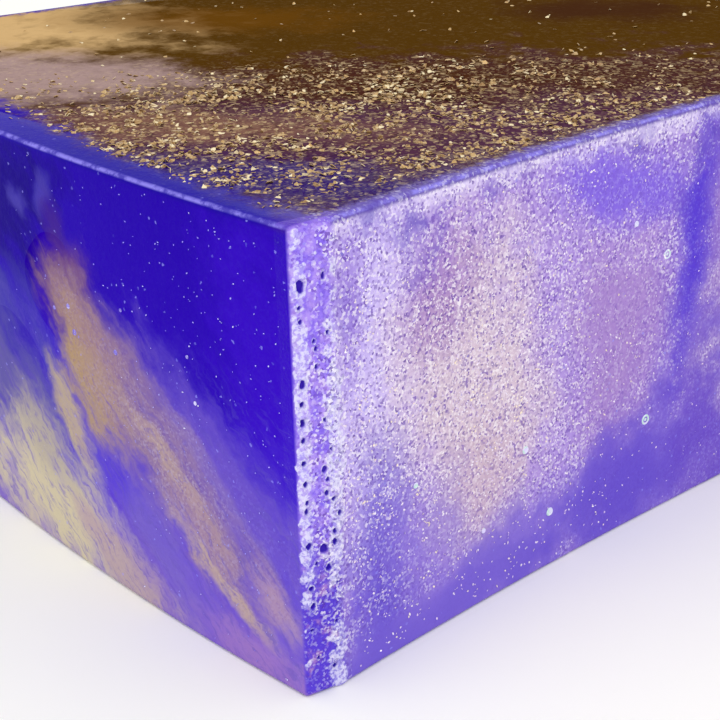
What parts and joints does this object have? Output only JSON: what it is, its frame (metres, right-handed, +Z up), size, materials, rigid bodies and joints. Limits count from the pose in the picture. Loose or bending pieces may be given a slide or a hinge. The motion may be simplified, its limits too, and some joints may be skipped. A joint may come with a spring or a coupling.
{
  "type": "soap bar",
  "caption": "Rectangular cast soap bar of layered violet soap with gold and pearl mica swirls, bulged ends, hollow sides and a flat underside.",
  "frame": {"origin": "middle of the footprint, on the flat underside", "axes": "+Z up out of the poured top, +Y along the length, X across the width; the front is the bulged end at -Y"},
  "size_m": [0.055, 0.08, 0.025],
  "materials": {
    "violet_milky_soap": "translucent, satin",
    "violet_deep_soap": "translucent, glossy",
    "gold_mica_soap": "sparkling mica in soap",
    "bronze_mica_soap": "smooth mica pool",
    "cream_mica_soap": "cloudy cream mica",
    "mica_flake": "metallic flake",
    "rose_soap": "translucent, satin",
    "pearl_mica_soap": "fine pearl sparkle",
    "frosted_soap": "frosty, full of tiny bubbles"
  },
  "bodies": {
    "root": {"violet_lower_pour": "violet_milky_soap", "violet_upper_pour": "violet_deep_soap", "gold_skin_top": "gold_mica_soap", "bronze_pool_top": "bronze_mica_soap", "cream_swirl_top": "cream_mica_soap", "mica_flakes_top": "mica_flake", "gold_streak_front": "gold_mica_soap", "gold_cloud_front": "cream_mica_soap", "gold_wisp_front": "gold_mica_soap", "rose_pool_front": "rose_soap", "gold_cloud_back": "gold_mica_soap", "pearl_cloud_right": "pearl_mica_soap", "pearl_cloud_far_right": "pearl_mica_soap", "pearl_cloud_left": "pearl_mica_soap", "corner_bead_front_right": "frosted_soap", "corner_bead_back_right": "frosted_soap", "corner_bead_back_left": "frosted_soap", "corner_bead_front_left": "frosted_soap"}
  },
  "joints": []
}
